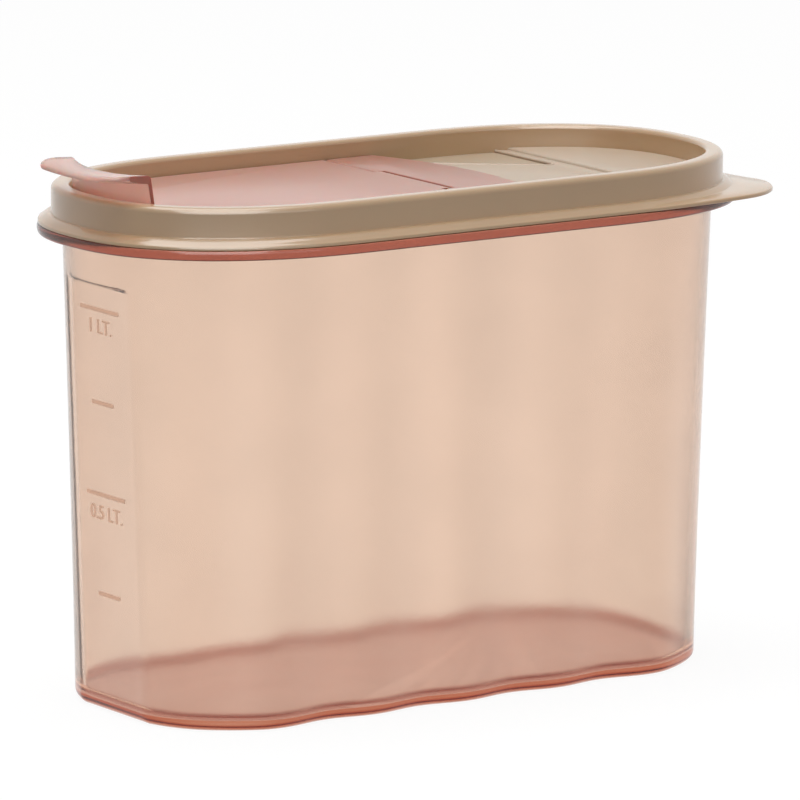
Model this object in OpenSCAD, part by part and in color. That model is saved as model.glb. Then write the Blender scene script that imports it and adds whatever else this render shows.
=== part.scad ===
// Cereal container with flip spout.
// Oval tub with fluted long walls, press-on lid seal, fixed hinge plate and flip door.
// Millimetres. +Z is up, -X is the spout end, -Y is the side seen in front.
// The origin is at the centre of the tub's underside.

/* [Tub] */
// Half length of the tub wall at the base
base_half_length = 81.2; // [60:0.5:120]
// Half width of the tub wall at the base
base_half_width = 35.8; // [25:0.5:60]
// Length of the curved end at the base, along X
base_end = 25.5; // [20:0.5:60]
// Squareness of the base outline, 2 is an ellipse
base_squareness = 2.15; // [2:0.01:5]
// Height of the tub wall below its flange
wall_top = 114.2; // [80:0.5:200]
// Thickness of the tub wall
wall = 1.6; // [1.2:0.1:3]
// Thickness of the tub floor
floor_t = 2.0; // [1.2:0.1:4]
// Radius of the outer edge round the underside
foot_radius = 2.0; // [1:0.5:6]
// Set-in of the tub wall from the lid rim at the top
wall_set_in = 2.6; // [2:0.1:5]
// Thickness of the tub flange
tub_flange_t = 2.4; // [1.5:0.1:4]
// Reach of the tub flange past the lid rim
tub_flange_out = 3.25; // [1:0.05:6]
// Rounding of the flange edges
edge_r = 0.5; // [0.2:0.1:0.8]

/* [Flutes] */
// Spacing of the flute valleys along the long walls
flute_pitch = 26.8; // [24:0.1:40]
// Depth of the valleys at the base
flute_depth = 1.8; // [0:0.1:4]
// Height where the flutes have faded out
flute_top = 112; // [60:1:113]

/* [End panel] */
// Width of the flat panel on the spout end
panel_width = 27; // [15:1:40]
// Height of the ledge at the top of the panel
panel_top = 104; // [60:1:110]
// Depth of the panel at its ledge, from the middle of the wall's curve
panel_top_depth = 2.1; // [0.5:0.1:3]
// Depth of the panel at the base
panel_base_depth = 1.7; // [0.3:0.1:2]
// Width of the step down each side of the panel
panel_step = 0.5; // [0.2:0.1:1]

/* [Lid seal] */
// Half length of the raised rim
rim_half_length = 89.2; // [70:0.5:130]
// Half width of the raised rim
rim_half_width = 41.2; // [30:0.5:70]
// Length of the curved end of the rim, along X
rim_end = 53.3; // [30:0.5:70]
// Squareness of the rim outline, 2 is an ellipse
rim_squareness = 2.31; // [2:0.01:4]
// Height of the raised rim above the lid flange
rim_h = 6.8; // [4:0.1:12]
// Full thickness of the rim with its channel
rim_t = 4.3; // [4:0.1:8]
// Thickness of the rim's outer skin
rim_outer_skin = 1.2; // [0.8:0.1:2]
// Thickness of the rim's inner skin
rim_inner_skin = 1.1; // [0.8:0.1:2]
// Thickness of the rim's top
rim_top_skin = 1.6; // [1:0.1:3]
// Rounding of the rim's outer top edge
rim_edge_r = 1.5; // [0.8:0.1:1.5]
// Rounding of the rim's inner top edge
rim_inner_r = 1.0; // [0.5:0.1:1]
// Thickness of the lid flange
lid_flange_t = 2.4; // [1.5:0.1:4]
// Reach of the lid flange past the rim
lid_flange_out = 3.03; // [1:0.01:6]
// Thickness of the recessed deck under the door
deck_t = 1.6; // [1.2:0.1:3]
// Depth of the recessed deck below the rim's top
deck_drop = 6.5; // [5:0.1:9]
// Height of the land above the recessed deck
land_h = 0.5; // [0.3:0.1:2]
// Height of the end platform above the land
platform_h = 0.6; // [0.3:0.1:3]
// Distance of the platform's edge from the middle of the lid
platform_x = 58.5; // [50:0.5:75]
// Distance from the middle of the lid to where the back recess leaves the rim
recess_x = 17; // [12:0.5:30]
// Distance of the recess's tip from the lid's long axis
recess_tip_y = 7.5; // [0:0.5:20]
// Radius of the recess's tip
recess_r = 2.5; // [1:0.5:5]
// Depth of the seal wall below the recessed deck
seal_depth = 2.4; // [1:0.1:20]
// Thickness of the seal wall
seal_t = 1.2; // [0.8:0.1:2]
// Set-in of the seal wall from the rim
seal_set_in = 5.4; // [5:0.1:7]
// Radius of the pull tab at the front right corner
tab_radius = 20.5; // [12:0.5:30]
// Thickness of the pull tab
tab_t = 1.2; // [1:0.1:1.4]

/* [Flip door and hinge] */
// Distance of the hinge from the middle of the lid, towards the tab end
hinge_x = 6.5; // [0:0.5:10]
// Thickness of the door plate and hinge plate above the recessed deck
plate_t = 1.9; // [1.5:0.1:2.1]
// Width of the ledge the door closes over
ledge = 4.5; // [3:0.1:8]
// Distance from the hinge to the pour opening
opening_gap = 12; // [6:0.5:30]
// Depth of the door's plug wall
plug_depth = 3.1; // [1:0.1:6]
// Thickness of the door's plug wall
plug_t = 1.2; // [0.8:0.1:2]
// Half width of the riser and lip
lip_half_width = 16; // [8:0.5:25]
// Thickness of the riser
riser_t = 1.4; // [1.2:0.1:3]
// Height of the gap between the rim and the lip
finger_gap = 4.6; // [4.2:0.1:10]
// Thickness of the lip
lip_t = 1.6; // [1:0.1:3]
// Overhang of the lip past the rim
lip_overhang = 3.5; // [1:0.1:8]
// Corner radius of the lip
lip_corner = 6.5; // [2:0.5:8]
// Radius of the hinge barrels
barrel_r = 1.3; // [1.2:0.05:1.6]
// Radius of the hinge pin
pin_r = 0.65; // [0.5:0.05:0.8]
// Half width of the door's middle barrel
knuckle_half = 14.5; // [3:0.5:20]
// Length of the pin inside each fixed knuckle
pin_grip = 6; // [3:0.5:15]
// Reach of the hinge plate's curved edge from the hinge
hinge_plate_reach = 20.5; // [15:0.5:30]
// Radius of the hinge plate's curved edge
hinge_plate_arc = 90; // [50:1:200]

/* [Clearances] */
// Gap between separate moulded pieces
gap = 0.3; // [0.1:0.05:0.6]
// Gap round the door inside the rim
door_gap = 0.4; // [0.2:0.05:0.8]
// Gap between the hinge plate's curved edge and the land
plate_gap = 0.2; // [0.1:0.05:0.5]
// Gap round the hinge barrels
barrel_gap = 0.35; // [0.3:0.05:0.5]
// Radial running clearance of the hinge pin
pin_clearance = 0.05; // [0.01:0.01:0.1]

/* [Hidden] */
$fn = 48;
fine = 0.01;

// Heights, from the tub's wall upward.
tub_flange_top = wall_top + tub_flange_t;
lid_flange_bottom = tub_flange_top + gap;
lid_flange_top = lid_flange_bottom + lid_flange_t;
rim_top = lid_flange_top + rim_h;
neck_top = rim_top - rim_top_skin - gap;
deck_top = rim_top - deck_drop;
deck_bottom = deck_top - deck_t;
land_top = deck_top + land_h;
platform_top = land_top + platform_h;
door_bottom = deck_top + gap;
plate_top = door_bottom + plate_t;
hinge_z = plate_top - barrel_r;
lip_bottom = rim_top + finger_gap;
lip_top = lip_bottom + lip_t;

// Outline sizes: half length, half width, curved end length, squareness.
base_size = [base_half_length, base_half_width, base_end, base_squareness];
rim_size = [rim_half_length, rim_half_width, rim_end, rim_squareness];
top_size = grow(rim_size, -wall_set_in);
flute_reach = 3 * flute_pitch;
side_reach = max(base_half_length - base_end, rim_half_length - rim_end) + 2;
neck_out = -rim_outer_skin - gap;
neck_in = -rim_t + rim_inner_skin + gap;
hinge_groove_r = barrel_r + barrel_gap;
barrel_end = rim_half_width - rim_t - door_gap;
knuckle_start = knuckle_half + gap;
pin_reach = knuckle_start + pin_grip;
opening_x = hinge_x - opening_gap;

// Points along a quarter of an outline: the side, the curved end, then the panel.
side_steps = 20;
end_steps = 8;
panel_steps = 4;
lid_side_steps = 10;

function grow(size, by) = [size[0] + by, size[1] + by, size[2] + by, size[3]];

function mix(a, b, t) = a + (b - a) * t;

function wall_size(z) = mix(base_size, top_size, min(1, max(0, z / wall_top)));

// Half width of an outline at the distance x from its middle.
function side_y(size, x) =
    let (t = max(0, x - size[0] + size[2]) / size[2])
    size[1] * pow(max(0, 1 - pow(t, size[3])), 1 / size[3]);

// Angle where the curved end takes over from the side.
function end_start(size) =
    asin(pow((side_reach - size[0] + size[2]) / size[2], size[3] / 2));

// Angle where the panel takes over from the curved end.
function end_stop(size) = acos(pow(panel_width / 2 / size[1], size[3] / 2));

function end_point(size, f) =
    let (a = mix(end_start(size), end_stop(size), f))
    [size[0] - size[2] + size[2] * pow(sin(a), 2 / size[3]), size[1] * pow(cos(a), 2 / size[3])];

// Point across the panel's width, k steps in from its side edge.
function panel_point(size, k) =
    let (y = (panel_width / 2 - panel_step) * (panel_steps - k) / (panel_steps - 1))
    [size[0] - size[2] + size[2] * pow(1 - pow(y / size[1], size[3]), 1 / size[3]), y];

function quarter_point(size, k, side_n) =
    k <= side_n
    ? [side_reach * k / side_n, side_y(size, side_reach * k / side_n)]
    : k <= side_n + end_steps
    ? end_point(size, (k - side_n) / end_steps)
    : panel_point(size, k - side_n - end_steps);

// Share of the flute's depth at the distance x from the middle: none on the ridges.
function flute(x) = abs(x) > flute_reach ? 0 : 0.5 - 0.5 * cos(360 * x / flute_pitch);

// Depth of the flutes at a height: full at the base, faded out at flute_top.
function depth_at(z) =
    let (t = min(1, max(0, z / flute_top)))
    flute_depth * (1 - pow(t, 1.5));

// Depth of the end panel at a height: none above its ledge.
function panel_at(z) =
    z > panel_top ? 0 : mix(panel_base_depth, panel_top_depth, max(0, z) / panel_top);

// One closed loop of points round the oval, anticlockwise from +X.
function ring(size, z, depth, panel, side_n) =
    let (m = side_n + end_steps + panel_steps)
    [for (i = [0:4 * m - 1])
        let (
            quadrant = floor(i / m),
            j = i - quadrant * m,
            k = quadrant % 2 == 0 ? m - j : j,
            p = quarter_point(size, k, side_n),
            spout = quadrant == 1 || quadrant == 2,
            x = spout && k > side_n + end_steps ? min(p[0], size[0] - panel) : p[0],
            sy = quadrant < 2 ? 1 : -1
        )
        [spout ? -x : x, sy * (p[1] - depth * flute(p[0])), z]
    ];

function lid_ring(by, z) = ring(grow(rim_size, by), z, 0, 0, lid_side_steps);

function tub_ring(by, z) = ring(grow(rim_size, by), z, 0, 0, side_steps);

function wall_ring(by, z) =
    ring(grow(wall_size(z), by), z, depth_at(z), panel_at(z), side_steps);

function flat(points) = [for (p = points) [p[0], p[1]]];

// Skin over a stack of loops: closed into a tube, or capped at both ends.
module skin(rings, tube) {
    count = len(rings);
    n = len(rings[0]);
    last = tube ? count - 1 : count - 2;
    points = [for (r = rings) for (p = r) p];
    walls = [
        for (a = [0:last])
            let (b = (a + 1) % count)
            for (i = [0:n - 1])
                let (j = (i + 1) % n)
                for (half = [0, 1])
                    half == 0
                    ? [a * n + i, b * n + j, a * n + j]
                    : [a * n + i, b * n + i, b * n + j]
    ];
    first_cap = [for (i = [0:n - 1]) i];
    last_cap = [for (i = [n - 1:-1:0]) (count - 1) * n + i];
    caps = tube ? [] : [first_cap, last_cap];
    polyhedron(points = points, faces = concat(walls, caps), convexity = 10);
}

// Solid plate with the lid's oval outline.
module oval_plate(by, z, h) {
    translate([0, 0, z])
        linear_extrude(height = h)
            polygon(flat(lid_ring(by, 0)));
}

module hinge_cylinder(r, y0, y1) {
    translate([hinge_x, y1, hinge_z])
        rotate([90, 0, 0])
            cylinder(r = r, h = y1 - y0);
}

// Heights of the loops up the tub's outer and inner walls, with a pair at the panel's ledge.
wall_heights = concat(
    [for (t = [0:0.125:1]) mix(foot_radius, panel_top, t)],
    [for (t = [0:0.5:1]) mix(panel_top + panel_step, wall_top, t)]
);
foot_steps = 4;

// Tub: fluted wall, flange and the neck that enters the lid's channel.
module tub_shell() {
    foot = [for (i = [0:foot_steps - 1])
        let (
            a = 90 * i / foot_steps,
            by = -foot_radius * (1 - sin(a)),
            z = i == 0 ? -foot_radius : foot_radius * (1 - cos(a))
        )
        ring(grow(base_size, by), z, flute_depth, panel_base_depth, side_steps)
    ];
    outer = [for (z = wall_heights) wall_ring(0, z)];
    flange = [
        tub_ring(tub_flange_out - edge_r, wall_top),
        tub_ring(tub_flange_out, wall_top + edge_r),
        tub_ring(tub_flange_out, tub_flange_top - edge_r),
        tub_ring(tub_flange_out - edge_r, tub_flange_top)
    ];
    neck = [
        tub_ring(neck_out, tub_flange_top),
        tub_ring(neck_out, neck_top - edge_r),
        tub_ring(neck_out - edge_r, neck_top),
        tub_ring(neck_in + edge_r, neck_top),
        tub_ring(neck_in, neck_top - edge_r),
        tub_ring(neck_in, tub_flange_top)
    ];
    inner = [for (i = [len(wall_heights) - 1:-1:1]) wall_ring(-wall, wall_heights[i])];
    floor_edge = [
        wall_ring(-wall, foot_radius + wall),
        wall_ring(-wall - foot_radius / 2, floor_t)
    ];
    skin(concat(foot, outer, flange, neck, inner, floor_edge), false);
}

module container() {
    color([0.89, 0.77, 0.70])
        difference() {
            tub_shell();
            translate([-base_half_length, -base_half_width, -2 * foot_radius])
                cube([2 * base_half_length, 2 * base_half_width, 2 * foot_radius]);
        }
}

// Raised rim: an upside-down channel over the tub's neck, with the lid flange.
module rim_channel() {
    outer = [
        lid_ring(lid_flange_out - edge_r, lid_flange_bottom),
        lid_ring(lid_flange_out, lid_flange_bottom + edge_r),
        lid_ring(lid_flange_out, lid_flange_top - 2 * edge_r),
        lid_ring(lid_flange_out - edge_r, lid_flange_top - edge_r),
        lid_ring(edge_r, lid_flange_top)
    ];
    crown_outer = [for (a = [0:22.5:90])
        lid_ring(-rim_edge_r * (1 - cos(a)), rim_top - rim_edge_r * (1 - sin(a)))];
    crown_inner = [for (a = [90:-30:0])
        lid_ring(-rim_t + rim_inner_r * (1 - cos(a)), rim_top - rim_inner_r * (1 - sin(a)))];
    channel = [
        lid_ring(-rim_t, deck_bottom),
        lid_ring(-rim_t + rim_inner_skin, deck_bottom),
        lid_ring(-rim_t + rim_inner_skin, rim_top - rim_top_skin),
        lid_ring(-rim_outer_skin, rim_top - rim_top_skin),
        lid_ring(-rim_outer_skin, lid_flange_bottom)
    ];
    skin(concat(outer, crown_outer, crown_inner, channel), true);
}

// Recess left at the back of the deck: a slanted edge from the rim to a round tip
// beside the platform.
module recess_outline() {
    start = [recess_x, rim_half_width - rim_t];
    tip = [platform_x - recess_r, recess_tip_y + recess_r];
    aim = atan2(tip[1] - start[1], tip[0] - start[0]) - asin(recess_r / norm(tip - start));
    touch = tip + recess_r * [cos(aim - 90), sin(aim - 90)];
    polygon([
        [start[0], rim_half_width],
        start,
        touch,
        tip,
        [platform_x, tip[1]],
        [platform_x, rim_half_width]
    ]);
    translate(tip)
        circle(r = recess_r);
}

module hinge_plate_outline(by) {
    translate([hinge_x + hinge_plate_reach - hinge_plate_arc, 0])
        circle(r = hinge_plate_arc + by, $fn = 180);
}

// Raised area of the deck, from the hinge plate to the far end, and the platform on it.
module land() {
    intersection() {
        oval_plate(-rim_t - fine, deck_bottom, platform_top - deck_bottom);
        union() {
            translate([0, 0, deck_bottom])
                linear_extrude(height = land_top - deck_bottom)
                    difference() {
                        translate([hinge_x, -rim_half_width])
                            square([rim_half_length, 2 * rim_half_width]);
                        hinge_plate_outline(plate_gap);
                        recess_outline();
                    }
            translate([platform_x, -rim_half_width, deck_bottom])
                cube([rim_half_length, 2 * rim_half_width, platform_top - deck_bottom]);
        }
    }
}

// Pull tab filling the front right corner of the flange.
module pull_tab() {
    cx = rim_half_length + lid_flange_out - tab_radius;
    cy = rim_half_width + lid_flange_out - tab_radius;
    translate([0, 0, lid_flange_top - 2 * edge_r - tab_t])
        linear_extrude(height = tab_t)
            difference() {
                union() {
                    translate([cx, -cy])
                        circle(r = tab_radius);
                    translate([cx - tab_radius, -cy - tab_radius])
                        square([tab_radius, tab_radius]);
                    translate([cx, -cy])
                        square([tab_radius, cy]);
                }
                polygon(flat(lid_ring(-rim_outer_skin / 2, 0)));
            }
}

module pour_opening() {
    intersection() {
        oval_plate(-rim_t - ledge, deck_bottom - fine, deck_t + 2 * fine);
        translate([opening_x - rim_half_length, -rim_half_width, 0])
            cube([rim_half_length, 2 * rim_half_width, rim_top]);
    }
}

module seal_wall() {
    difference() {
        oval_plate(-seal_set_in, deck_bottom - seal_depth, seal_depth + fine);
        oval_plate(-seal_set_in - seal_t, deck_bottom - seal_depth - fine, seal_depth + 3 * fine);
    }
}

module lid_seal() {
    color([0.78, 0.72, 0.66])
        union() {
            rim_channel();
            difference() {
                oval_plate(-rim_t + rim_inner_skin / 2, deck_bottom, deck_t);
                pour_opening();
                hinge_cylinder(hinge_groove_r, -barrel_end - door_gap, barrel_end + door_gap);
            }
            land();
            pull_tab();
            seal_wall();
        }
}

// Outline of the middle of the hinge line, where the door's barrel turns.
module barrel_room(half_width) {
    translate([hinge_x - hinge_groove_r, -half_width])
        square([2 * hinge_groove_r, 2 * half_width]);
}

// Fixed plate behind the hinge, with a bored knuckle on each side of the door's barrel.
module hinge_plate() {
    color([0.83, 0.68, 0.65])
        difference() {
            union() {
                intersection() {
                    oval_plate(-rim_t - gap, deck_top, plate_top - deck_top);
                    linear_extrude(height = rim_top)
                        difference() {
                            intersection() {
                                hinge_plate_outline(0);
                                translate([hinge_x, -rim_half_width])
                                    square([rim_half_length, 2 * rim_half_width]);
                            }
                            barrel_room(knuckle_start);
                        }
                }
                hinge_cylinder(barrel_r, -barrel_end, -knuckle_start);
                hinge_cylinder(barrel_r, knuckle_start, barrel_end);
            }
            hinge_cylinder(pin_r + pin_clearance, -pin_reach - gap, pin_reach + gap);
        }
}

// Plug wall under the door that enters the pour opening.
module door_plug() {
    intersection() {
        difference() {
            oval_plate(-rim_t - ledge - door_gap, door_bottom - plug_depth, plug_depth + fine);
            difference() {
                oval_plate(-rim_t - ledge - door_gap - plug_t, 0, rim_top);
                translate([opening_x - door_gap - plug_t, -rim_half_width, 0])
                    cube([rim_half_length, 2 * rim_half_width, rim_top]);
            }
        }
        translate([opening_x - door_gap - rim_half_length, -rim_half_width, 0])
            cube([rim_half_length, 2 * rim_half_width, rim_top]);
    }
}

module lip_outline() {
    reach = rim_half_length + lip_overhang;
    translate([-reach + lip_corner, -lip_half_width])
        square([reach, 2 * lip_half_width]);
    translate([-reach, -lip_half_width + lip_corner])
        square([reach, 2 * (lip_half_width - lip_corner)]);
    for (s = [-1, 1])
        translate([-reach + lip_corner, s * (lip_half_width - lip_corner)])
            circle(r = lip_corner);
}

// Riser inside the rim and the lip that reaches out over it.
module riser_and_lip() {
    difference() {
        union() {
            intersection() {
                oval_plate(-rim_t - door_gap, door_bottom, lip_top - door_bottom);
                translate([-rim_half_length, -lip_half_width, 0])
                    cube([rim_half_length, 2 * lip_half_width, lip_top]);
            }
            translate([0, 0, lip_bottom])
                linear_extrude(height = lip_t)
                    lip_outline();
        }
        oval_plate(-rim_t - door_gap - riser_t, 0, 2 * lip_top);
        translate([-rim_half_length / 2, -rim_half_width, 0])
            cube([rim_half_length, 2 * rim_half_width, 2 * lip_top]);
    }
}

// Door plate: straight at the hinge line, with a tongue in the middle that carries the barrel.
module door_plate() {
    intersection() {
        oval_plate(-rim_t - door_gap, door_bottom, plate_t);
        linear_extrude(height = rim_top)
            union() {
                translate([-rim_half_length, -rim_half_width])
                    square([rim_half_length + hinge_x - hinge_groove_r, 2 * rim_half_width]);
                translate([-rim_half_length, -knuckle_half])
                    square([rim_half_length + hinge_x, 2 * knuckle_half]);
            }
    }
}

module flip_door() {
    color([0.85, 0.66, 0.62])
        union() {
            door_plate();
            hinge_cylinder(barrel_r, -knuckle_half, knuckle_half);
            hinge_cylinder(pin_r, -pin_reach, pin_reach);
            door_plug();
            riser_and_lip();
        }
}

container();
lid_seal();
hinge_plate();
flip_door();
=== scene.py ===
from math import acos, asin, atan2, cos, hypot, pi, radians, sin, sqrt

import bmesh
import bpy
from mathutils import Matrix, Vector


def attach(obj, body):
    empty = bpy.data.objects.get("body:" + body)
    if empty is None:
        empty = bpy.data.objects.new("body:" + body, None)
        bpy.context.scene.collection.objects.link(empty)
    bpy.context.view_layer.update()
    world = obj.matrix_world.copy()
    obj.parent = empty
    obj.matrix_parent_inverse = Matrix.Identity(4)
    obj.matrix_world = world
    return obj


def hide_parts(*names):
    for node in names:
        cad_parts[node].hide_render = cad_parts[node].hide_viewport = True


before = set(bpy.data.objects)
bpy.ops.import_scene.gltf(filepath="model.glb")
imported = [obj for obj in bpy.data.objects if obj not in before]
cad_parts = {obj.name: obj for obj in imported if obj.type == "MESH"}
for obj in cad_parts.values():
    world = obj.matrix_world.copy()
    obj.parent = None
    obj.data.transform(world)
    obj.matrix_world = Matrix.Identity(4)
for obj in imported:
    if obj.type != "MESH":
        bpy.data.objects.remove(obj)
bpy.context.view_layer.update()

# Camera: a long lens at about two metres, a little above the lid and turned to the spout end,
# as the container was photographed.
camera_place = Vector((-1.1307, -1.6291, 0.4440))
camera_back = Vector((-0.5612, -0.8065, 0.1862)).normalized()
camera_right = Vector((0.8208, -0.5712, 0.0))
camera_roll = radians(0.46)
camera_up = camera_back.cross(camera_right)
turned_right = camera_right * cos(camera_roll) + camera_up * sin(camera_roll)
turned_up = camera_up * cos(camera_roll) - camera_right * sin(camera_roll)

photo_camera = bpy.data.objects.new("photo_camera", bpy.data.cameras.new("photo_camera"))
photo_camera.data.sensor_width = 36.0
photo_camera.data.lens = 374.5
photo_camera.data.clip_end = 30.0
photo_camera.matrix_world = Matrix.Translation(camera_place) @ Matrix(
    (turned_right, turned_up, camera_back)).transposed().to_4x4()
bpy.context.scene.collection.objects.link(photo_camera)
bpy.context.scene.camera = photo_camera

# Studio: a white sweep of floor and air, a big soft lamp above and a weak fill in front. A softbox
# above the camera only draws the bright lines on the rounded edges. The floor keeps a soft shadow.
bpy.context.scene.view_settings.view_transform = "Standard"


def node_in(tree, kind, x, y, **values):
    made = tree.nodes.new(kind)
    made.location = (x, y)
    for name, value in values.items():
        setattr(made, name, value)
    return made


def seen_straight_or_through(tree, x, y):
    path = node_in(tree, "ShaderNodeLightPath", x, y)
    glossy = node_in(tree, "ShaderNodeMath", x + 180, y, operation="MAXIMUM")
    through = node_in(tree, "ShaderNodeMath", x + 360, y, operation="MAXIMUM")
    tree.links.new(path.outputs["Is Camera Ray"], glossy.inputs[0])
    tree.links.new(path.outputs["Is Glossy Ray"], glossy.inputs[1])
    tree.links.new(glossy.outputs[0], through.inputs[0])
    tree.links.new(path.outputs["Is Transmission Ray"], through.inputs[1])
    return through.outputs[0]


studio_air = bpy.data.worlds.new("studio_air")
studio_air.use_nodes = True
air = studio_air.node_tree
air.nodes.clear()
air_out = node_in(air, "ShaderNodeOutputWorld", 700, 0)
air_mix = node_in(air, "ShaderNodeMixShader", 500, 0)
air_light = node_in(air, "ShaderNodeBackground", 200, 100)
air_light.inputs["Color"].default_value = (1.0, 0.985, 0.97, 1.0)
air_light.inputs["Strength"].default_value = 0.3
air_white = node_in(air, "ShaderNodeBackground", 200, -100)
air_white.inputs["Color"].default_value = (1.0, 1.0, 1.0, 1.0)
air_white.inputs["Strength"].default_value = 1.0
air.links.new(seen_straight_or_through(air, -400, 300), air_mix.inputs["Fac"])
air.links.new(air_light.outputs[0], air_mix.inputs[1])
air.links.new(air_white.outputs[0], air_mix.inputs[2])
air.links.new(air_mix.outputs[0], air_out.inputs["Surface"])
bpy.context.scene.world = studio_air

floor_mesh = bmesh.new()
bmesh.ops.create_grid(floor_mesh, x_segments=1, y_segments=1, size=4.0)
floor_data = bpy.data.meshes.new("studio_floor")
floor_mesh.to_mesh(floor_data)
floor_mesh.free()
studio_floor = bpy.data.objects.new("studio_floor", floor_data)
bpy.context.scene.collection.objects.link(studio_floor)

floor_paint = bpy.data.materials.new("studio_floor")
floor_paint.use_nodes = True
paint = floor_paint.node_tree
paint.nodes.clear()
paint_out = node_in(paint, "ShaderNodeOutputMaterial", 900, 0)
paint_mix = node_in(paint, "ShaderNodeMixShader", 700, 0)
paint_matt = node_in(paint, "ShaderNodeBsdfDiffuse", 300, 100)
paint_matt.inputs["Color"].default_value = (0.55, 0.55, 0.55, 1.0)
paint_white = node_in(paint, "ShaderNodeEmission", 300, -100)
paint_white.inputs["Strength"].default_value = 1.15
paint_share = node_in(paint, "ShaderNodeMath", 480, 260, operation="MULTIPLY")
paint_share.inputs[1].default_value = 0.8
paint.links.new(seen_straight_or_through(paint, -400, 300), paint_share.inputs[0])
paint.links.new(paint_share.outputs[0], paint_mix.inputs["Fac"])
paint.links.new(paint_matt.outputs[0], paint_mix.inputs[1])
paint.links.new(paint_white.outputs[0], paint_mix.inputs[2])
paint.links.new(paint_mix.outputs[0], paint_out.inputs["Surface"])
floor_data.materials.append(floor_paint)


def soft_lamp(name, place, aim, size, power):
    lamp = bpy.data.objects.new(name, bpy.data.lights.new(name, "AREA"))
    lamp.data.shape = "RECTANGLE"
    lamp.data.size, lamp.data.size_y = size
    lamp.data.energy = power
    lamp.location = place
    lamp.rotation_euler = (Vector(aim) - Vector(place)).to_track_quat("-Z", "Y").to_euler()
    bpy.context.scene.collection.objects.link(lamp)
    return lamp


soft_lamp("overhead_softbox", place=(-0.1, 0.1, 1.5), aim=(0, 0, 0.08), size=(1.1, 1.1), power=16.0)
glint_box = soft_lamp("glint_softbox", place=(-0.96, -1.57, 1.64), aim=(0, 0, 0.1), size=(2.2, 2.6),
                      power=90.0)
glint_box.visible_diffuse = False
glint_box.visible_transmission = False
soft_lamp("front_fill", place=(0.2, -2.0, 0.7), aim=(0, 0, 0.08), size=(0.9, 0.7), power=2.5)

# Tub: one thin moulding of clear rose plastic, drafted oval walls with shallow flutes, a flat
# panel at the spout end, and an outward flange with a neck that stands up into the lid.
mm = 0.001
tub_height = 114.2
tub_wall = 1.6
foot_radius = 2.0
floor_thickness = 2.0
flute_pitch, flute_depth, flute_top, flute_fade = 26.8, 1.8, 112.0, 1.5
flute_reach = 3 * flute_pitch
panel_half, panel_step, panel_ledge, ledge_rise = 13.8, 1.8, 104.0, 1.0
panel_low, panel_high = 1.7, 2.1
base_outline = (81.2, 35.8, 25.5, 2.15)
rim_outline = (89.2, 41.2, 53.3, 2.31)
wall_set_in = 2.6
flange_low, flange_high = 114.2, 116.6
flange_reach, flange_bulge, flange_fillet = 3.25, 0.5, 0.6
neck_outer, neck_inner, neck_top, neck_round = -1.5, -2.9, 124.2, 0.4

past_straight = 2
side_reach = base_outline[0] - base_outline[2] + past_straight
panel_steps, end_steps, side_steps = 6, 26, 40
quarter_steps = panel_steps + end_steps + side_steps
foot_steps, wall_steps, upper_steps = 8, 40, 6


def mix(a, b, t):
    return a + (b - a) * t


def grown(outline, by):
    length, width, end, square = outline
    return length + by, width + by, end + by, square


top_outline = grown(rim_outline, -wall_set_in)


def wall_outline(z):
    t = min(1.0, max(0.0, z / tub_height))
    return tuple(mix(a, b, t) for a, b in zip(base_outline, top_outline))


def side_y(outline, x):
    """Half width of an outline at the distance x from its middle."""
    length, width, end, square = outline
    t = max(0.0, abs(x) - length + end) / end
    return width * (1 - min(1.0, t) ** square) ** (1 / square)


def end_x(outline, y):
    """Distance of an outline's end from its middle, at y."""
    length, width, end, square = outline
    return length - end + end * (1 - min(1.0, abs(y) / width) ** square) ** (1 / square)


def quarter_place(outline, step):
    """X and Y in an outline's first quarter: step 0 is the end's middle, the last the side's."""
    length, width, end, square = outline
    if step < panel_steps:
        y = (panel_half - panel_step) * step / (panel_steps - 1)
        return end_x(outline, y), y
    if step < panel_steps + end_steps:
        first = acos((panel_half / width) ** (square / 2))
        last = asin(((side_reach - length + end) / end) ** (square / 2))
        a = mix(first, last, (step - panel_steps) / end_steps)
        return length - end + end * sin(a) ** (2 / square), width * cos(a) ** (2 / square)
    x = side_reach * (quarter_steps - step) / side_steps
    return x, side_y(outline, x)


def loop_place(outline, step, flute=0.0, panel=0.0):
    """X and Y of a loop's point, with the flutes and the spout end's panel pressed in."""
    quarter, rest = divmod(step, quarter_steps)
    near_end = rest if quarter % 2 == 0 else quarter_steps - rest
    x, y = quarter_place(outline, near_end)
    if x < flute_reach:
        y -= flute * (0.5 - 0.5 * cos(2 * pi * x / flute_pitch))
    spout_end = quarter in (1, 2)
    if spout_end and near_end < panel_steps:
        x = min(x, outline[0] - panel)
    return (-x if spout_end else x), (y if quarter < 2 else -y)


def start_loop(bm, capped=False):
    """A circle whose points know their place round the oval."""
    step_of = bm.verts.layers.int.new("step")
    bmesh.ops.create_circle(bm, cap_ends=capped, segments=4 * quarter_steps, radius=1.0)
    for point in bm.verts:
        turn = atan2(point.co.y, point.co.x) / (2 * pi)
        point[step_of] = round(turn * 4 * quarter_steps) % (4 * quarter_steps)
    return step_of, list(bm.edges)


def lay_loop(points, step_of, outline, z, flute=0.0, panel=0.0):
    for point in points:
        x, y = loop_place(outline, point[step_of], flute, panel)
        point.co = (x * mm, y * mm, z * mm)


def next_loop(bm, edges):
    made = bmesh.ops.extrude_edge_only(bm, edges=edges)["geom"]
    points = {g for g in made if isinstance(g, bmesh.types.BMVert)}
    return points, [g for g in made if isinstance(g, bmesh.types.BMEdge)
                    and g.verts[0] in points and g.verts[1] in points]


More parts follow.
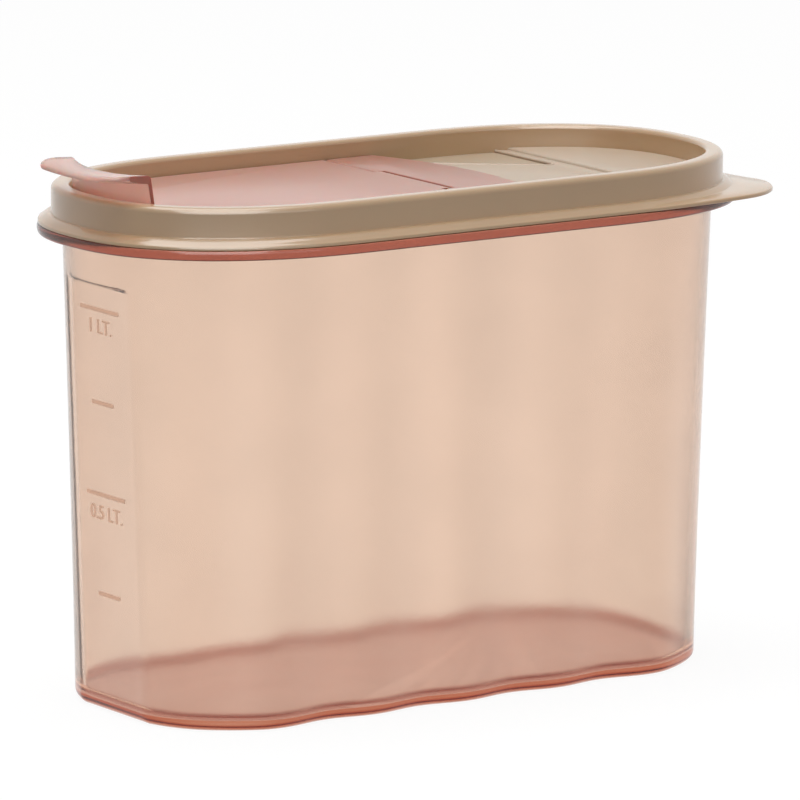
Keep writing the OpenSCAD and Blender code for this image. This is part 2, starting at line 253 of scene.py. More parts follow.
def finished(bm, name, body, crease=35):
    bmesh.ops.remove_doubles(bm, verts=bm.verts, dist=0.001 * mm)
    bmesh.ops.recalc_face_normals(bm, faces=bm.faces)
    for face in bm.faces:
        face.smooth = len(face.verts) <= 4
    data = bpy.data.meshes.new(name)
    bm.to_mesh(data)
    bm.free()
    data.set_sharp_from_angle(angle=radians(crease))
    piece = bpy.data.objects.new(name, data)
    bpy.context.scene.collection.objects.link(piece)
    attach(piece, body)
    return piece


def flute_at(z):
    return flute_depth * (1 - min(1.0, max(0.0, z / flute_top)) ** flute_fade)


def panel_at(z):
    return 0.0 if z > panel_ledge else mix(panel_low, panel_high, max(0.0, z) / panel_ledge)


wall_heights = [mix(foot_radius, panel_ledge, i / wall_steps) for i in range(wall_steps + 1)]
wall_heights += [mix(panel_ledge + ledge_rise, tub_height - flange_fillet, i / upper_steps)
                 for i in range(upper_steps + 1)]
flange_half = (flange_high - flange_low) / 2
flange_edge = [(flange_reach - flange_bulge * (1 - cos(a)), flange_low + flange_half * (1 + sin(a)))
               for a in (radians(15 * i) for i in range(-6, 7))]
flange_and_neck = [(-wall_set_in + flange_fillet, flange_low), *flange_edge,
                   (neck_outer, flange_high), (neck_outer, neck_top - neck_round),
                   (neck_outer - neck_round, neck_top), (neck_inner + neck_round, neck_top),
                   (neck_inner, neck_top - neck_round), (neck_inner, flange_high)]
inner_fillet = [(0.05, 4.2), (0.3, 3.4), (0.8, 2.7), (1.6, 2.2), (2.6, floor_thickness)]

tub = bmesh.new()
tub_step, tub_edges = start_loop(tub, capped=True)
lay_loop(tub.verts, tub_step, grown(base_outline, -foot_radius), 0.0, flute_depth, panel_low)
for i in range(1, foot_steps):
    lean = radians(90 * i / foot_steps)
    points, tub_edges = next_loop(tub, tub_edges)
    lay_loop(points, tub_step, grown(base_outline, -foot_radius * (1 - sin(lean))),
             foot_radius * (1 - cos(lean)), flute_depth, panel_low)
for z in wall_heights:
    points, tub_edges = next_loop(tub, tub_edges)
    lay_loop(points, tub_step, wall_outline(z), z, flute_at(z), panel_at(z))
for by, z in flange_and_neck:
    points, tub_edges = next_loop(tub, tub_edges)
    lay_loop(points, tub_step, grown(rim_outline, by), z)
for z in reversed(wall_heights[1:]):
    points, tub_edges = next_loop(tub, tub_edges)
    lay_loop(points, tub_step, grown(wall_outline(z), -tub_wall), z, flute_at(z), panel_at(z))
for set_in, z in inner_fillet:
    points, tub_edges = next_loop(tub, tub_edges)
    lay_loop(points, tub_step, grown(wall_outline(z), -tub_wall - set_in), z, flute_at(z), panel_at(z))
bmesh.ops.holes_fill(tub, edges=tub_edges)
tub_piece = finished(tub, "rose_tub", "tub")
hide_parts("container")


def moulded_skin_group():
    """Faint flow clouds and fine orange peel of moulded plastic: colour, roughness and height."""
    group = bpy.data.node_groups.new("moulded_skin", "ShaderNodeTree")
    for name, kind, value in (("Tint", "NodeSocketColor", (1, 1, 1, 1)),
                              ("Flow", "NodeSocketFloat", 0.04),
                              ("Gloss Wear", "NodeSocketFloat", 0.06),
                              ("Roughness", "NodeSocketFloat", 0.3),
                              ("Peel Scale", "NodeSocketFloat", 900.0)):
        socket = group.interface.new_socket(name, in_out="INPUT", socket_type=kind)
        socket.default_value = value
    for name, kind in (("Color", "NodeSocketColor"), ("Roughness", "NodeSocketFloat"),
                       ("Height", "NodeSocketFloat")):
        group.interface.new_socket(name, in_out="OUTPUT", socket_type=kind)
    given = node_in(group, "NodeGroupInput", -900, 0)
    out = node_in(group, "NodeGroupOutput", 700, 0)
    place = node_in(group, "ShaderNodeTexCoord", -900, -300)
    clouds = node_in(group, "ShaderNodeTexNoise", -600, 100)
    clouds.inputs["Scale"].default_value = 38.0
    clouds.inputs["Detail"].default_value = 3.0
    peel = node_in(group, "ShaderNodeTexNoise", -600, -300)
    peel.inputs["Detail"].default_value = 1.0
    shade = node_in(group, "ShaderNodeMapRange", -380, 100)
    shade.inputs["From Min"].default_value = 0.35
    shade.inputs["From Max"].default_value = 0.65
    shade.inputs["To Min"].default_value = 1.0
    darker = node_in(group, "ShaderNodeMath", -380, 300, operation="SUBTRACT")
    darker.inputs[0].default_value = 1.0
    tinted = node_in(group, "ShaderNodeVectorMath", 300, 200, operation="SCALE")
    wear = node_in(group, "ShaderNodeMath", 100, -60, operation="MULTIPLY_ADD")
    swing = node_in(group, "ShaderNodeMath", -100, -60, operation="SUBTRACT")
    swing.inputs[1].default_value = 0.5
    link = group.links.new
    link(place.outputs["Object"], clouds.inputs["Vector"])
    link(place.outputs["Object"], peel.inputs["Vector"])
    link(given.outputs["Peel Scale"], peel.inputs["Scale"])
    link(given.outputs["Flow"], darker.inputs[1])
    link(clouds.outputs["Fac"], shade.inputs["Value"])
    link(darker.outputs[0], shade.inputs["To Max"])
    link(given.outputs["Tint"], tinted.inputs[0])
    link(shade.outputs["Result"], tinted.inputs["Scale"])
    link(clouds.outputs["Fac"], swing.inputs[0])
    link(swing.outputs[0], wear.inputs[0])
    link(given.outputs["Gloss Wear"], wear.inputs[1])
    link(given.outputs["Roughness"], wear.inputs[2])
    link(tinted.outputs[0], out.inputs["Color"])
    link(wear.outputs[0], out.inputs["Roughness"])
    link(peel.outputs["Fac"], out.inputs["Height"])
    return group


moulded_skin = moulded_skin_group()


def moulded_material(name, tint, roughness, flow, wear, peel_depth, sockets):
    """A Principled plastic whose colour, roughness and fine bump come from the skin group."""
    material = bpy.data.materials.new(name)
    material.use_nodes = True
    tree = material.node_tree
    tree.nodes.clear()
    out = node_in(tree, "ShaderNodeOutputMaterial", 700, 0)
    plastic = node_in(tree, "ShaderNodeBsdfPrincipled", 400, 0)
    skin = node_in(tree, "ShaderNodeGroup", -100, 0, node_tree=moulded_skin)
    bump = node_in(tree, "ShaderNodeBump", 150, -300)
    skin.inputs["Tint"].default_value = (*tint, 1.0)
    skin.inputs["Flow"].default_value = flow
    skin.inputs["Gloss Wear"].default_value = wear
    skin.inputs["Roughness"].default_value = roughness
    bump.inputs["Distance"].default_value = peel_depth
    bump.inputs["Strength"].default_value = 0.5
    for socket, value in sockets.items():
        plastic.inputs[socket].default_value = value
    tree.links.new(skin.outputs["Color"], plastic.inputs["Base Color"])
    tree.links.new(skin.outputs["Roughness"], plastic.inputs["Roughness"])
    tree.links.new(skin.outputs["Height"], bump.inputs["Height"])
    tree.links.new(bump.outputs["Normal"], plastic.inputs["Normal"])
    tree.links.new(plastic.outputs["BSDF"], out.inputs["Surface"])
    return material


# The rose tint deepens with the length of plastic looked through, most of all in the flange, which is
# seen edge on. Along the foot the deep tint is partly that depth and partly painted shadow under the
# floor, and the ridges between the flutes get a faint painted shade.
wall_tint = (0.975, 0.893, 0.826)
foot_band, band_fade = 4.0, 0.4
rose_clear = moulded_material("rose_clear_plastic", wall_tint, roughness=0.13, flow=0.03, wear=0.05,
                              peel_depth=0.00002,
                              sockets={"IOR": 1.45, "Transmission Weight": 0.95})
tree = rose_clear.node_tree
skin = next(n for n in tree.nodes if n.type == "GROUP")
out = next(n for n in tree.nodes if n.type == "OUTPUT_MATERIAL")
absorb = node_in(tree, "ShaderNodeVolumeAbsorption", 400, -400)
absorb.inputs["Color"].default_value = (0.837, 0.387, 0.045, 1.0)
absorb.inputs["Density"].default_value = 100.0
place = node_in(tree, "ShaderNodeTexCoord", -1500, 200)
height = node_in(tree, "ShaderNodeSeparateXYZ", -1300, 200)
turns = node_in(tree, "ShaderNodeMath", -1100, 500, operation="MULTIPLY")
turns.inputs[1].default_value = 2 * pi / (flute_pitch * mm)
wave = node_in(tree, "ShaderNodeMath", -920, 500, operation="COSINE")
# Painted shade: the wall tint darkens a little on each flute ridge, standing in for the banded shading
# of the flutes.
flute_ridge_shade = node_in(tree, "ShaderNodeMapRange", -740, 500)
flute_ridge_shade.inputs["From Min"].default_value = -1.0
flute_ridge_shade.inputs["To Min"].default_value = 1.0
flute_ridge_shade.inputs["To Max"].default_value = 0.965
flute_shaded_tint = node_in(tree, "ShaderNodeVectorMath", -540, 500, operation="SCALE")
flute_shaded_tint.inputs[0].default_value = wall_tint
in_flange = node_in(tree, "ShaderNodeMapRange", -740, 200)
in_flange.inputs["From Min"].default_value = (flange_low - 0.3) * mm
in_flange.inputs["From Max"].default_value = (flange_low + 0.1) * mm
in_foot = node_in(tree, "ShaderNodeMapRange", -740, -100)
in_foot.inputs["From Min"].default_value = (foot_band + band_fade) * mm
in_foot.inputs["From Max"].default_value = (foot_band - band_fade) * mm
flange_tint = node_in(tree, "ShaderNodeMix", -340, 300, data_type="RGBA")
flange_tint.inputs["B"].default_value = (0.51, 0.185, 0.14, 1.0)
# Partly painted shadow: the foot band's deep tint stands for the depth of plastic seen edge on and also
# for the shade under the floor.
foot_tint_and_shadow = node_in(tree, "ShaderNodeMix", -340, 0, data_type="RGBA")
foot_tint_and_shadow.inputs["B"].default_value = (0.505, 0.235, 0.19, 1.0)
link = tree.links.new
link(place.outputs["Object"], height.inputs[0])
link(height.outputs["X"], turns.inputs[0])
link(turns.outputs[0], wave.inputs[0])
link(wave.outputs[0], flute_ridge_shade.inputs["Value"])
link(flute_ridge_shade.outputs["Result"], flute_shaded_tint.inputs["Scale"])
link(height.outputs["Z"], in_flange.inputs["Value"])
link(height.outputs["Z"], in_foot.inputs["Value"])
link(in_flange.outputs["Result"], flange_tint.inputs["Factor"])
link(in_foot.outputs["Result"], foot_tint_and_shadow.inputs["Factor"])
link(flute_shaded_tint.outputs[0], flange_tint.inputs["A"])
link(flange_tint.outputs["Result"], foot_tint_and_shadow.inputs["A"])
link(foot_tint_and_shadow.outputs["Result"], skin.inputs["Tint"])
link(absorb.outputs["Volume"], out.inputs["Volume"])
tub_piece.data.materials.append(rose_clear)

# Capacity marks: thin raised bars and generic litre lettering moulded on the end panel, in the
# tub's own plastic, which looks a little darker where it is thicker.
long_bar, short_bar, bar_height, bar_round = 16.5, 9.3, 1.0, 0.15
letter_size, mark_relief = 5.0, 0.2
bar_places = ((98.35, long_bar), (75.7, short_bar), (53.3, long_bar), (28.9, short_bar))
word_places = ((92.6, "1 LT."), (47.2, "0.5 LT."))


def panel_x(z):
    return -(wall_outline(z)[0] - panel_at(z))


lean_low, lean_high = 20.0, 90.0
panel_lean = atan2(panel_x(lean_low) - panel_x(lean_high), lean_high - lean_low)


def on_panel(z):
    """Placing matrix for a flat mark: its X runs along -Y, its Y up the leaning panel."""
    across = Vector((0, -1, 0))
    up = Vector((-sin(panel_lean), 0, cos(panel_lean)))
    turn = Matrix((across, up, across.cross(up))).transposed().to_4x4()
    return Matrix.Translation((panel_x(z) * mm, 0, z * mm)) @ turn


def mesh_of(curve):
    """The mesh that a text or a thick line makes."""
    laid = bpy.data.objects.new(curve.name, curve)
    bpy.context.scene.collection.objects.link(laid)
    bpy.context.view_layer.update()
    data = bpy.data.meshes.new_from_object(laid)
    bpy.data.objects.remove(laid)
    return data


marks = bmesh.new()
for z, width in bar_places:
    shape = on_panel(z) @ Matrix.Diagonal((width * mm, bar_height * mm, 2 * mark_relief * mm, 1.0))
    made = bmesh.ops.create_cube(marks, size=1.0, matrix=shape)["verts"]
    bmesh.ops.bevel(marks, geom=list({e for v in made for e in v.link_edges}),
                    offset=bar_round * mm, offset_type="OFFSET", affect="EDGES", segments=2,
                    profile=0.5, material=-1)
bars_piece = finished(marks, "capacity_bars", "tub")

lettering = bmesh.new()
for z, words in word_places:
    flat_words = bpy.data.curves.new("litre_words", "FONT")
    flat_words.body = words
    flat_words.size = letter_size * mm
    flat_words.align_x = "CENTER"
    flat_words.extrude = mark_relief * mm
    flat_words.resolution_u = 3
    data = mesh_of(flat_words)
    data.transform(on_panel(z))
    lettering.from_mesh(data)
words_piece = finished(lettering, "litre_lettering", "tub")

rose_thick = moulded_material("rose_thick_plastic", (0.84, 0.72, 0.66), roughness=0.3, flow=0.05,
                              wear=0.05, peel_depth=0.00002,
                              sockets={"IOR": 1.06, "Transmission Weight": 1.0})
for piece in (bars_piece, words_piece):
    piece.data.materials.append(rose_thick)

# Lid seal: one soft taupe moulding. Its raised rim is an upside-down channel that presses over
# the tub's neck, with a flange below and a pull tab drawn out of the front right corner.
lid_flange_low, lid_flange_high = 116.9, 119.3
lid_flange_reach = 3.03
rim_high, rim_thick = 126.1, 4.3
rim_outer_skin, rim_inner_skin, rim_roof = 1.2, 1.1, 1.6
rim_outer_round, rim_inner_round = 1.5, 1.0
deck_low, deck_high = 118.0, 119.6
tab_radius, tab_low, tab_high, tab_lift, tab_run = 20.5, 116.65, 117.6, 0.65, 8.0
tab_start_x, tab_start_y = 20, -4
fan_x, fan_y, farthest, halvings = 40, -12, 40.0, 40


def tab_place(x, y):
    """Draws a flange point at the front right out, away from (fan_x, fan_y), to the tab's edge."""
    reach_x = rim_outline[0] + lid_flange_reach
    reach_y = rim_outline[1] + lid_flange_reach
    middle_x, middle_y = reach_x - tab_radius, -(reach_y - tab_radius)
    if x <= tab_start_x or y >= tab_start_y:
        return x, y
    away = Vector((x - fan_x, y - fan_y)).normalized()
    low, high = 0.0, farthest
    for _ in range(halvings):
        out = (low + high) / 2
        px, py = x + away.x * out, y + away.y * out
        if px > middle_x and py < middle_y:
            outside = hypot(px - middle_x, py - middle_y) > tab_radius
        else:
            outside = px > reach_x or py < -reach_y
        low, high = (low, out) if outside else (out, high)
    return x + away.x * low, y + away.y * low


def lay_tab_loop(points, step_of, by, z):
    """A loop on the flange's outer edge, which rises a little where it runs out to the tab."""
    for point in points:
        x, y = loop_place(grown(rim_outline, lid_flange_reach), point[step_of])
        far_x, far_y = tab_place(x, y)
        near_x, near_y = loop_place(grown(rim_outline, lid_flange_reach + by), point[step_of])
        lift = tab_lift * min(1.0, hypot(far_x - x, far_y - y) / tab_run)
        point.co = ((far_x - x + near_x) * mm, (far_y - y + near_y) * mm, (z + lift) * mm)


rim = bmesh.new()
rim_step, rim_edges = start_loop(rim)
first_edges = rim_edges
lay_loop(rim.verts, rim_step, grown(rim_outline, -rim_outer_skin), lid_flange_low)
points, rim_edges = next_loop(rim, rim_edges)
lay_loop(points, rim_step, grown(rim_outline, lid_flange_reach - 0.5), tab_low - 0.02)
tab_edge = [(-0.1, tab_low), (0.0, tab_low + 0.1), (0.0, tab_high - 0.35), (-0.15, tab_high - 0.12),
            (-0.4, tab_high)]
for by, z in tab_edge:
    points, rim_edges = next_loop(rim, rim_edges)
    lay_tab_loop(points, rim_step, by, z)
quarter_turn = [radians(15 * i) for i in range(7)]
flange_top = [(2.3, 117.95), (1.85, 118.28), (1.4, 118.6), (0.95, 118.88), (0.55, 119.02),
              (0.28, 118.96), (0.08, 119.0), (0.0, lid_flange_high)]
rim_outside = [(-rim_outer_round * (1 - cos(a)), rim_high - rim_outer_round * (1 - sin(a)))
               for a in quarter_turn]
rim_inside = [(-rim_thick + rim_inner_round * (1 - cos(a)), rim_high - rim_inner_round * (1 - sin(a)))
              for a in reversed(quarter_turn)]
channel = [(-rim_thick, deck_high + 0.5), (-rim_thick, deck_low),
           (-rim_thick + rim_inner_skin, deck_low), (-rim_thick + rim_inner_skin, rim_high - rim_roof),
           (-rim_outer_skin, rim_high - rim_roof)]
for by, z in flange_top + rim_outside + rim_inside + channel:
    points, rim_edges = next_loop(rim, rim_edges)
    lay_loop(points, rim_step, grown(rim_outline, by), z)
bmesh.ops.bridge_loops(rim, edges=first_edges + rim_edges)
rim_piece = finished(rim, "seal_rim", "lid")
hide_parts("lid_seal")

# Deck of the lid seal: a sunken floor in the rim with the pour opening and the hinge's groove, a
# land behind the hinge plate, cut out by a recess with a raised edge, a platform at the far end,
# and the seal wall below. The raised parts start a little inside the deck and the rim.
ledge, opening_x, opening_soften = 4.5, -5.5, 0.25
hinge_x, hinge_z, groove_radius, groove_steps = 6.5, 120.5, 1.65, 8
land_high, platform_high, platform_x = 120.1, 120.7, 58.5
into_deck, into_rim, into_platform = 0.4, 0.6, 0.5
crest_radius, crest_sunk = 0.4, 0.15
recess_start, recess_tip, recess_radius = Vector((17.0, 36.9)), Vector((53.4, 11.4)), 2.2
seal_low, seal_set_in, seal_wall = 115.6, 5.4, 1.2
plate_arc, plate_arc_middle, plate_gap = 90.0, -63.0, 0.2


def lay_door_loop(points, step_of, outline, right_x, z):
    """A loop on the oval, cut off square at right_x."""
    for point in points:
        x, y = loop_place(outline, point[step_of])
        if x > right_x:
            side = side_y(outline, right_x)
            x, y = right_x, max(-side, min(side, y))
        point.co = (x * mm, y * mm, z * mm)


deck = bmesh.new()
deck_step, deck_edges = start_loop(deck)
first_edges = deck_edges
opening = grown(rim_outline, -rim_thick - ledge)
deck_edge = grown(rim_outline, -rim_thick + 0.5)
lay_loop(deck.verts, deck_step, deck_edge, deck_high)
for z, soften in ((deck_high, opening_soften), (deck_high - opening_soften, 0.0), (deck_low, 0.0)):
    points, deck_edges = next_loop(deck, deck_edges)
    lay_door_loop(points, deck_step, grown(opening, soften), opening_x + soften, z)
points, deck_edges = next_loop(deck, deck_edges)
lay_loop(points, deck_step, deck_edge, deck_low)
bmesh.ops.bridge_loops(deck, edges=first_edges + deck_edges)
for i in range(groove_steps + 1):
    across = groove_radius * cos(pi * i / groove_steps)
    bmesh.ops.bisect_plane(deck, geom=list(deck.verts) + list(deck.edges) + list(deck.faces),
                           plane_co=((hinge_x + across) * mm, 0, 0), plane_no=(1, 0, 0), dist=1e-7)
for point in deck.verts:
    across = abs(point.co.x / mm - hinge_x)
    if point.co.z > (deck_high - 0.1) * mm and across <= groove_radius:
        below = sqrt(max(0.0, groove_radius ** 2 - across ** 2))
        point.co.z = min(point.co.z, (hinge_z - below) * mm)
deck_piece = finished(deck, "seal_deck", "lid", crease=30)


def arc_x(y, radius):
    return plate_arc_middle + sqrt(radius ** 2 - y ** 2)


def raised_face(bm, corners, low, high, soften):
    """A flat face through the corners, drawn up from low to high, its top edges softened."""
    made = bm.faces.new([bm.verts.new((x * mm, y * mm, low * mm)) for x, y in corners])
    drawn = bmesh.ops.extrude_face_region(bm, geom=[made])["geom"]
    lifted = [g for g in drawn if isinstance(g, bmesh.types.BMVert)]
    bmesh.ops.translate(bm, verts=lifted, vec=(0, 0, (high - low) * mm))
    top_edges = [g for g in drawn if isinstance(g, bmesh.types.BMEdge)]
    bmesh.ops.bevel(bm, geom=top_edges, offset=soften * mm, offset_type="OFFSET", affect="EDGES",
                    segments=4, profile=0.5, material=-1)


# The recess runs from recess_start along a straight edge to its round tip. The edge's crossing with
# the land's arc is found by repetition.
slant = recess_tip - recess_start
aim = atan2(slant.y, slant.x) - asin(recess_radius / slant.length)
round_tip = [(recess_tip.x + recess_radius * cos(a), recess_tip.y + recess_radius * sin(a))
             for a in (mix(aim - pi / 2, 0.0, i / 10) for i in range(11))]
in_rim = grown(rim_outline, -rim_thick + into_rim)
land_radius = plate_arc + plate_gap
corner_y = recess_start.y
for _ in range(30):
    along = arc_x(corner_y, land_radius) - recess_start.x
    corner_y = recess_start.y + along * (round_tip[0][1] - recess_start.y) / (
        round_tip[0][0] - recess_start.x)
front_y = side_y(in_rim, arc_x(side_y(in_rim, 20), land_radius))

land = bmesh.new()
land_corners = [(arc_x(y, land_radius), y)
                for y in (mix(-front_y, corner_y, i / 40) for i in range(41))]
land_corners += round_tip
recess_right = recess_tip.x + recess_radius
land_end = platform_x + into_platform
land_corners += [(x, side_y(in_rim, x)) for x in (recess_right, land_end)]
front_x = arc_x(front_y, land_radius)
land_corners += [(x, -side_y(in_rim, x))
                 for x in (mix(land_end, front_x, i / 16) for i in range(16))]
raised_face(land, land_corners, deck_high - into_deck, land_high, soften=0.35)
land_piece = finished(land, "seal_land", "lid", crease=30)

crest_line = bpy.data.curves.new("recess_crest", "CURVE")
crest_line.dimensions = "3D"
crest_line.bevel_depth = crest_radius * mm
crest_line.bevel_resolution = 3
crest_line.use_fill_caps = True
crest_path = [(arc_x(corner_y, land_radius) + 0.5, corner_y - 0.3)] + round_tip
crest_path += [(recess_right, side_y(in_rim, recess_right))]
crest_spline = crest_line.splines.new("POLY")
crest_spline.points.add(len(crest_path) - 1)
for point, (x, y) in zip(crest_spline.points, crest_path):
    point.co = (x * mm, y * mm, (land_high - crest_sunk) * mm, 1.0)
crest = bmesh.new()
crest.from_mesh(mesh_of(crest_line))
crest_piece = finished(crest, "seal_recess_crest", "lid", crease=60)

platform = bmesh.new()
platform_side = side_y(in_rim, platform_x)
platform_corners = [(end_x(in_rim, y), y)
                    for y in (mix(-platform_side, platform_side, i / 32) for i in range(33))]
raised_face(platform, platform_corners, deck_high - into_deck, platform_high, soften=0.8)
platform_piece = finished(platform, "seal_platform", "lid", crease=30)

skirt = bmesh.new()
skirt_step, skirt_edges = start_loop(skirt)
first_edges = skirt_edges
skirt_top = deck_low + 0.2
lay_loop(skirt.verts, skirt_step, grown(rim_outline, -seal_set_in), skirt_top)
for by, z in ((-seal_set_in, seal_low + 0.4), (-seal_set_in - 0.3, seal_low),
              (-seal_set_in - seal_wall + 0.3, seal_low), (-seal_set_in - seal_wall, seal_low + 0.4),
              (-seal_set_in - seal_wall, skirt_top)):
    points, skirt_edges = next_loop(skirt, skirt_edges)
    lay_loop(points, skirt_step, grown(rim_outline, by), z)
bmesh.ops.bridge_loops(skirt, edges=first_edges + skirt_edges)
skirt_piece = finished(skirt, "seal_skirt", "lid")

soft_body = {"IOR": 1.48, "Subsurface Weight": 0.1, "Subsurface Scale": 0.003}
smooth_skin = {**soft_body, "Coat Weight": 0.8, "Coat Roughness": 0.1}
satin_skin = {**soft_body, "Coat Weight": 0.2, "Coat Roughness": 0.2}
taupe_soft = moulded_material("taupe_soft_plastic", (0.50, 0.325, 0.175), roughness=0.34, flow=0.05,
                              wear=0.08, peel_depth=0.00004, sockets=smooth_skin)
rim_piece.data.materials.append(taupe_soft)
taupe_top = moulded_material("taupe_top_plastic", (0.50, 0.39, 0.29), roughness=0.5, flow=0.04,
                             wear=0.06, peel_depth=0.00003, sockets=satin_skin)
for piece in (land_piece, crest_piece, platform_piece):
    piece.data.materials.append(taupe_top)
# Painted shade: the sunken deck and the skirt take a darker copy of the seal's taupe, for the shade in
# the sunken deck and its recess.
taupe_deck_painted_shade = moulded_material("taupe_deck_painted_shade_plastic", (0.42, 0.32, 0.22), roughness=0.5, flow=0.05,
                              wear=0.06, peel_depth=0.00004, sockets=satin_skin)
for piece in (deck_piece, skirt_piece):
    piece.data.materials.append(taupe_deck_painted_shade)

# Hinge plate: the fixed half of the rose flap moulding, pressed into the deck behind the hinge
# line. It has a curved far edge, and a bored knuckle on each side of the door's middle barrel.
plate_high, barrel_radius, knuckle_half, knuckle_gap = 121.8, 1.3, 14.5, 0.3
pin_radius, pin_clearance, pin_reach = 0.65, 0.05, 20.8
barrel_chamfer, pin_chamfer, bore_end_gap = 0.12, 0.1, 0.3
barrel_end = rim_outline[1] - rim_thick - 0.4
plate_edge = grown(rim_outline, -rim_thick - 0.3)
knuckle_start = knuckle_half + knuckle_gap

fixed = bmesh.new()
plate_side = side_y(plate_edge, hinge_x)
fixed_corners = [(arc_x(y, plate_arc), y)
                 for y in (mix(-plate_side, plate_side, i / 48) for i in range(49))]
fixed_corners += [(hinge_x, plate_side), (hinge_x, knuckle_start),
                  (hinge_x + groove_radius, knuckle_start),
                  (hinge_x + groove_radius, -knuckle_start),
                  (hinge_x, -knuckle_start), (hinge_x, -plate_side)]
raised_face(fixed, fixed_corners, deck_high, plate_high, soften=0.25)
hinge_piece = finished(fixed, "fixed_hinge_plate", "lid", crease=30)
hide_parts("hinge_plate")


def turned(bm, rings):
    """A closed turned shape along the hinge line through rings of (y, radius)."""
    loops = []
    for y, radius in rings:
        place = (Matrix.Translation((hinge_x * mm, y * mm, hinge_z * mm))
                 @ Matrix.Rotation(pi / 2, 4, "X"))
        ring = bmesh.ops.create_circle(bm, cap_ends=False, segments=32, radius=radius * mm,
                                       matrix=place)["verts"]
        loops.append(list({e for v in ring for e in v.link_edges}))
    for a, b in zip(loops, loops[1:]):
        bmesh.ops.bridge_loops(bm, edges=a + b)
    bmesh.ops.holes_fill(bm, edges=loops[0] + loops[-1])


knuckles = bmesh.new()
bore = pin_radius + pin_clearance
knuckle_rings = [(pin_reach + bore_end_gap, bore), (knuckle_start, bore),
                 (knuckle_start, barrel_radius - barrel_chamfer),
                 (knuckle_start + barrel_chamfer, barrel_radius),
                 (barrel_end - barrel_chamfer, barrel_radius),
                 (barrel_end, barrel_radius - barrel_chamfer)]
for side in (-1, 1):
    turned(knuckles, [(side * y, radius) for y, radius in knuckle_rings])
knuckle_piece = finished(knuckles, "fixed_knuckles", "lid", crease=40)

# Flip door: a thin rose plate over the pour opening, with a plug wall below, a middle barrel with
# its pins, a curved riser inside the rim and a finger lip that reaches out over it.
door_low, door_gap = 119.9, 0.4
door_outline = grown(rim_outline, -rim_thick - door_gap)
door_right = hinge_x - groove_radius
notch_step = 0.02
riser_thick, foot_flare, edge_thinning = 1.4, 1.2, 0.5
lip_half, lip_low, lip_high, lip_dip = 16.6, 130.9, 132.5, 0.7
lip_reach, lip_corner = 92.7, 6.5
plug_low, plug_wall = 116.8, 1.2

door = bmesh.new()
door_step, door_edges = start_loop(door, capped=True)
lay_door_loop(door.verts, door_step, grown(door_outline, -0.3), door_right - 0.3, door_low)
for by, z in ((0.0, door_low + 0.3), (0.0, plate_high - 0.35), (-0.1, plate_high - 0.1),
              (-0.35, plate_high)):
    points, door_edges = next_loop(door, door_edges)
    lay_door_loop(points, door_step, grown(door_outline, by), door_right + by, z)
bmesh.ops.holes_fill(door, edges=door_edges)
for y in (-knuckle_half - notch_step, -knuckle_half, knuckle_half, knuckle_half + notch_step):
    bmesh.ops.bisect_plane(door, geom=list(door.verts) + list(door.edges) + list(door.faces),
                           plane_co=(0, y * mm, 0), plane_no=(0, 1, 0), dist=1e-7)
for point in door.verts:
    by_barrel = abs(point.co.y) < (knuckle_half + notch_step / 2) * mm
    if by_barrel and point.co.x > (door_right - 0.5) * mm:
        point.co.x += groove_radius * mm
door_piece = finished(door, "door_plate", "door", crease=30)
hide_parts("flip_door")

barrel = bmesh.new()
barrel_rings = [(knuckle_half - barrel_chamfer, barrel_radius),
                (knuckle_half, barrel_radius - barrel_chamfer), (knuckle_half, pin_radius),
                (pin_reach - pin_chamfer, pin_radius), (pin_reach, pin_radius - pin_chamfer)]
turned(barrel, [(-y, radius) for y, radius in reversed(barrel_rings)] + barrel_rings)
barrel_piece = finished(barrel, "door_barrel_and_pins", "door", crease=40)

plug = bmesh.new()
plug_step, plug_edges = start_loop(plug)
first_edges = plug_edges
plug_outline = grown(rim_outline, -rim_thick - ledge - door_gap)
plug_right, plug_top, plug_round = opening_x - door_gap, door_low + 0.2, 0.3
lay_door_loop(plug.verts, plug_step, plug_outline, plug_right, plug_top)
for by, z in ((0.0, plug_low + plug_round), (-plug_round, plug_low),
              (-plug_wall + plug_round, plug_low), (-plug_wall, plug_low + plug_round),
              (-plug_wall, plug_top)):
    points, plug_edges = next_loop(plug, plug_edges)
    lay_door_loop(points, plug_step, grown(plug_outline, by), plug_right + by, z)
bmesh.ops.bridge_loops(plug, edges=first_edges + plug_edges)
plug_piece = finished(plug, "door_plug_wall", "door", crease=30)


def lip_edge(y):
    """How far the lip reaches at the distance y from its middle, with rounded corners."""
    over = max(0.0, abs(y) - (lip_half - lip_corner))
    return -(lip_reach - lip_corner + sqrt(max(0.0, lip_corner ** 2 - over ** 2)))


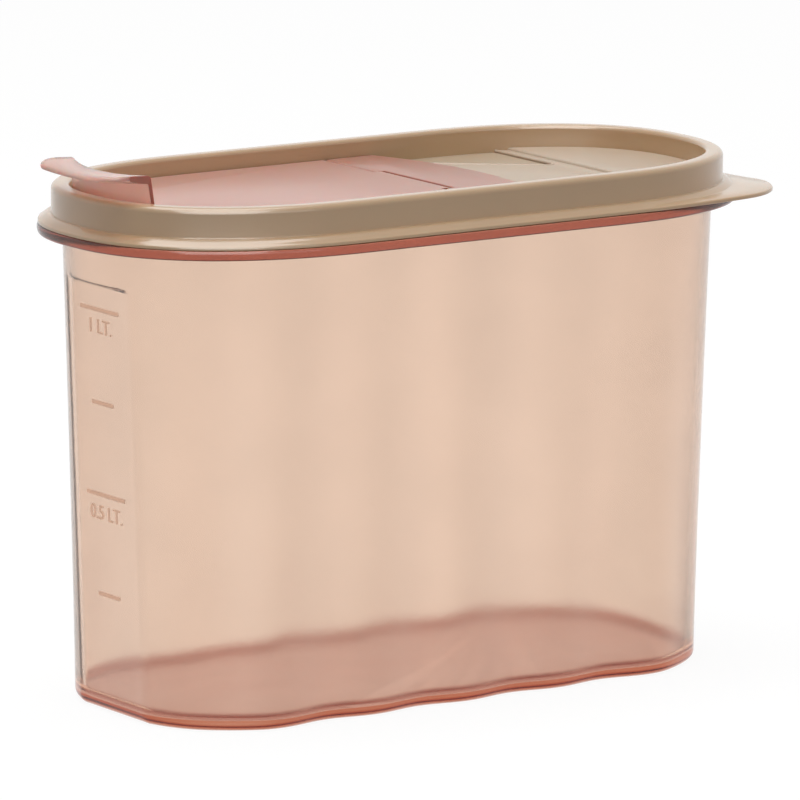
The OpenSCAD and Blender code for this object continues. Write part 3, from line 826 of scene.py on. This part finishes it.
def riser_profile(share):
    """Points of the riser and lip at a share of its half width: inside, over the lip, outside."""
    y, foot_y = share * lip_half, share * (lip_half + foot_flare)
    outside, foot = -end_x(door_outline, y), -end_x(door_outline, foot_y)
    thick = riser_thick - edge_thinning * share ** 4
    inside, edge = outside + thick, min(lip_edge(y), outside - 0.05)
    dip = lip_dip * (1 - share ** 2)
    top, low = lip_high - dip, lip_low - dip * 0.6
    foot_points = [(foot + thick + 2.4, foot_y, plate_high - 0.2),
                   (foot + thick + 1.3, foot_y, plate_high + 0.2),
                   (mix(foot, outside, 0.15) + thick + 0.6, mix(foot_y, y, 0.15), plate_high + 1.2),
                   (mix(foot, outside, 0.4) + thick + 0.2, mix(foot_y, y, 0.4), plate_high + 3.0)]
    lip_points = [(inside, top - 1.2), (inside - 0.25, top - 0.4), (inside - 0.9, top),
                  (mix(inside, edge, 0.6), top + 0.15), (edge + 0.7, top + 0.25),
                  (edge + 0.15, top - 0.05), (edge, top - 0.5), (edge + 0.15, top - 0.9),
                  (edge + 0.7, mix(top, low, 0.7)), (min(outside - 0.02, mix(outside, edge, 0.5)), low),
                  (outside, low - 0.4)]
    outer_points = [(mix(foot, outside, 0.3) + 0.15, mix(foot_y, y, 0.3), plate_high + 2.5),
                    (foot + 0.4, foot_y, plate_high), (foot + 0.4, foot_y, door_low + 0.6),
                    (foot + thick + 2.4, foot_y, door_low + 0.6)]
    return foot_points + [(x, y, z) for x, z in lip_points] + outer_points


riser = bmesh.new()
number = riser.verts.layers.int.new("number")
riser_edges = None
for lean in range(-90, 91, 5):
    corners = [Vector(place) * mm for place in riser_profile(sin(radians(lean)))]
    if riser_edges is None:
        made = [riser.verts.new(corner) for corner in corners]
        for i, point in enumerate(made):
            point[number] = i
        riser_edges = list(riser.faces.new(made).edges)
        continue
    points, riser_edges = next_loop(riser, riser_edges)
    for point in points:
        point.co = corners[point[number]]
bmesh.ops.holes_fill(riser, edges=riser_edges)
for face in riser.faces:
    face.material_index = int(len(face.verts) > 4)
riser_piece = finished(riser, "door_riser_and_lip", "door", crease=50)

# Cloudy rose plastic. The plates' cut edges and the riser's end faces are seen edge on, and their deep
# red is partly that depth and partly painted shade in the hinge gap and along the plates' edges; the
# fixed plate lies on the seal and looks darker, and the thin riser lets light through.
cloudy = {"IOR": 1.45, "Transmission Weight": 0.12, "Subsurface Weight": 0.5,
          "Subsurface Scale": 0.002}
thin_cloudy = {**cloudy, "Transmission Weight": 0.65}
rose_door, rose_fixed, rose_thin, rose_cut_and_shade = [
    moulded_material(name, tint, roughness, flow=0.03, wear=0.03, peel_depth=0.00001, sockets=sockets)
    for name, tint, roughness, sockets in (
        ("rose_door_plastic", (0.63, 0.335, 0.27), 0.3, cloudy),
        ("rose_fixed_plastic", (0.50, 0.23, 0.17), 0.3, cloudy),
        ("rose_thin_plastic", (0.93, 0.66, 0.57), 0.25, thin_cloudy),
        ("rose_cut_and_shade_plastic", (0.40, 0.14, 0.10), 0.4, cloudy))]
for piece, plastic in ((hinge_piece, rose_fixed), (knuckle_piece, rose_fixed), (door_piece, rose_door),
                       (barrel_piece, rose_door), (plug_piece, rose_door), (riser_piece, rose_thin)):
    piece.data.materials.append(plastic)
# Partly painted shade: the upright faces of the plates and the riser's end faces take the deep red,
# which also stands for the shade in the hinge gap and along the edges.
for piece in (hinge_piece, door_piece, riser_piece):
    piece.data.materials.append(rose_cut_and_shade)
for piece in (hinge_piece, door_piece):
    for face in piece.data.polygons:
        face.material_index = int(abs(face.normal.z) < 0.5)
